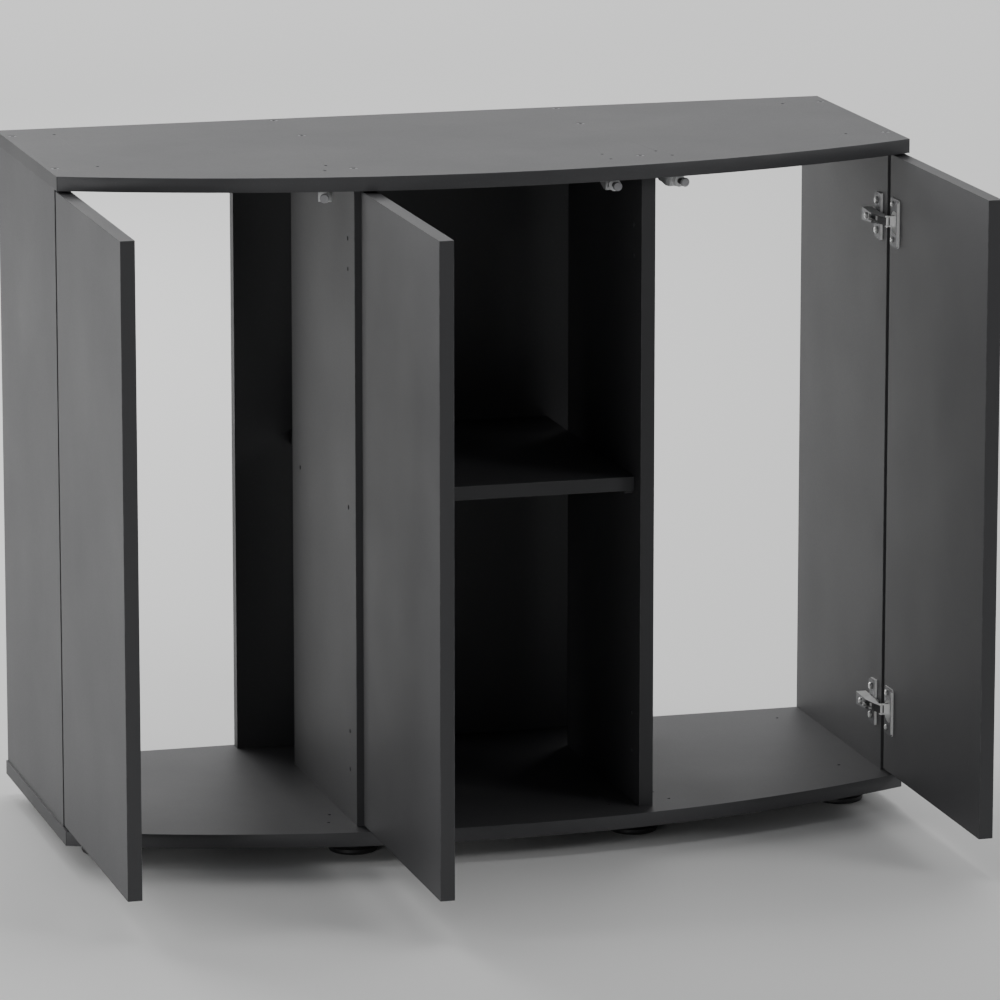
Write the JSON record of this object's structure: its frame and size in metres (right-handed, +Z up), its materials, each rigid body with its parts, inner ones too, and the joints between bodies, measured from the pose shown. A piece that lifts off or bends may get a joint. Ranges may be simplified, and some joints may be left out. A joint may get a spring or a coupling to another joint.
{
  "type": "bow-front aquarium stand cabinet",
  "caption": "Bow-front cabinet that carries a fish tank: matt dark boards, doors on concealed hinges standing open, a shelf, push latches and round glides.",
  "frame": {"origin": "on the floor, at the centre of the cabinet's box with the doors standing open", "axes": "+X to the right across the front, +Y to the back, +Z up"},
  "size_m": [0.92, 0.6918, 0.73],
  "materials": {
    "board": "matt melamine-faced board",
    "steel": "bright nickel plated",
    "latch_grey": "satin",
    "black_plastic": "satin",
    "dark_steel": "black zinc",
    "rubber": "matt",
    "beech": "plain"
  },
  "bodies": {
    "cabinet": {"top_plate": "board", "bottom_plate": "board", "side_panel_left": "board", "side_panel_right": "board", "divider_left": "board", "divider_right": "board", "back_board": "board", "shelf": "board", "shelf_pins": "steel", "carcass_screws_top": "dark_steel", "carcass_screws_bottom": "dark_steel", "dowels_top": "beech", "dowels_bottom": "beech", "hinge_plates_left": "steel", "hinge_plates_middle": "steel", "hinge_plates_right": "steel", "hinge_arms_left": "steel", "hinge_arms_middle": "steel", "hinge_arms_right": "steel", "hinge_pins_left": "steel", "hinge_pins_middle": "steel", "hinge_pins_right": "steel", "plate_screws": "steel", "clamp_screws": "steel", "latch_housing_left": "latch_grey", "latch_housing_middle": "latch_grey", "latch_housing_right": "latch_grey", "latch_barrel_left": "latch_grey", "latch_barrel_middle": "latch_grey", "latch_barrel_right": "latch_grey", "latch_springs": "steel", "latch_screws": "steel", "glides": "black_plastic", "glide_screws": "steel"},
    "door_left_body": {"door_left": "board", "hinge_cups_left": "steel", "cup_screws_left": "steel"},
    "links_left_body": {"hinge_links_left": "steel"},
    "plunger_left_body": {"latch_plunger_left": "black_plastic", "latch_bumper_left": "rubber"},
    "door_middle_body": {"door_middle": "board", "hinge_cups_middle": "steel", "cup_screws_middle": "steel"},
    "links_middle_body": {"hinge_links_middle": "steel"},
    "plunger_middle_body": {"latch_plunger_middle": "black_plastic", "latch_bumper_middle": "rubber"},
    "door_right_body": {"door_right": "board", "hinge_cups_right": "steel", "cup_screws_right": "steel"},
    "links_right_body": {"hinge_links_right": "steel"},
    "plunger_right_body": {"latch_plunger_right": "black_plastic", "latch_bumper_right": "rubber"}
  },
  "joints": [
    {"name": "door_left_hinge", "type": "hinge", "parent": "cabinet", "child": "door_left_body", "pos_m": [-0.45251, 0.04107, 0.37525], "axis": [0, 0, -1], "range_deg": [-74.38, 15.62]},
    {"name": "links_left_hinge", "type": "hinge", "parent": "cabinet", "child": "links_left_body", "pos_m": [-0.438, 0.03846, 0.37525], "axis": [0, 0, 1], "range_deg": [-43.79, 9.2]},
    {"name": "plunger_left_slide", "type": "slide", "parent": "cabinet", "child": "plunger_left_body", "axis": [0.2692, 0.9631, 0], "range_m": [-0.00173, 0.00821]},
    {"name": "door_middle_hinge", "type": "hinge", "parent": "cabinet", "child": "door_middle_body", "pos_m": [-0.15197, -0.04006, 0.37525], "axis": [0, 0, -1], "range_deg": [-90, 5]},
    {"name": "links_middle_hinge", "type": "hinge", "parent": "cabinet", "child": "links_middle_body", "pos_m": [-0.13587, -0.03716, 0.37525], "axis": [0, 0, 1], "range_deg": [-57.18, 3.19]},
    {"name": "plunger_middle_slide", "type": "slide", "parent": "cabinet", "child": "plunger_middle_body", "axis": [0, 1, 0], "range_m": [-0.00047, 0.00821]},
    {"name": "door_right_hinge", "type": "hinge", "parent": "cabinet", "child": "door_right_body", "pos_m": [0.45251, 0.04107, 0.37525], "axis": [0, 0, 1], "range_deg": [-74.38, 15.62]},
    {"name": "links_right_hinge", "type": "hinge", "parent": "cabinet", "child": "links_right_body", "pos_m": [0.438, 0.03846, 0.37525], "axis": [0, 0, -1], "range_deg": [-43.79, 9.2]},
    {"name": "plunger_right_slide", "type": "slide", "parent": "cabinet", "child": "plunger_right_body", "axis": [-0.2692, 0.9631, 0], "range_m": [-0.00173, 0.00821]}
  ],
  "couplings": [
    {"joint": "links_left_hinge", "follows": "door_left_hinge", "ratio": 0.58862},
    {"joint": "plunger_left_slide", "follows": "door_left_hinge", "m_per_rad": -0.0063165},
    {"joint": "links_middle_hinge", "follows": "door_middle_hinge", "ratio": 0.63522},
    {"joint": "plunger_middle_slide", "follows": "door_middle_hinge", "m_per_rad": -0.0052203},
    {"joint": "links_right_hinge", "follows": "door_right_hinge", "ratio": 0.58862},
    {"joint": "plunger_right_slide", "follows": "door_right_hinge", "m_per_rad": -0.0063165}
  ]
}
